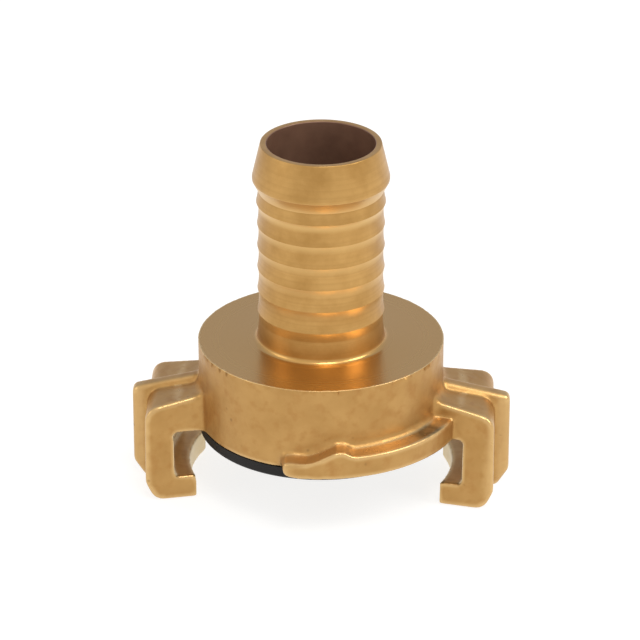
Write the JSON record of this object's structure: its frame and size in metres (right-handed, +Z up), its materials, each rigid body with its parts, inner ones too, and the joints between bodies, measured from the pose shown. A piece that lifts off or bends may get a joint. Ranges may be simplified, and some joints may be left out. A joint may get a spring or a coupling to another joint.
{
  "type": "quarter turn hose coupling",
  "caption": "Brass claw coupling half with a ribbed hose tail, opposed claws, cam ramps and a rubber face seal; locks to its twin with a quarter turn.",
  "frame": {"origin": "on the waterway's axis, in the plane that the claws' feet stand on", "axes": "+Z up along the waterway towards the hose, X through the two claws"},
  "size_m": [0.0576, 0.0432, 0.0557],
  "materials": {
    "coupling_body": "satin forged brass with turned faces",
    "face_seal": "smooth moulded black rubber"
  },
  "bodies": {
    "root": {"coupling_body": "coupling_body", "face_seal": "face_seal"}
  },
  "joints": []
}
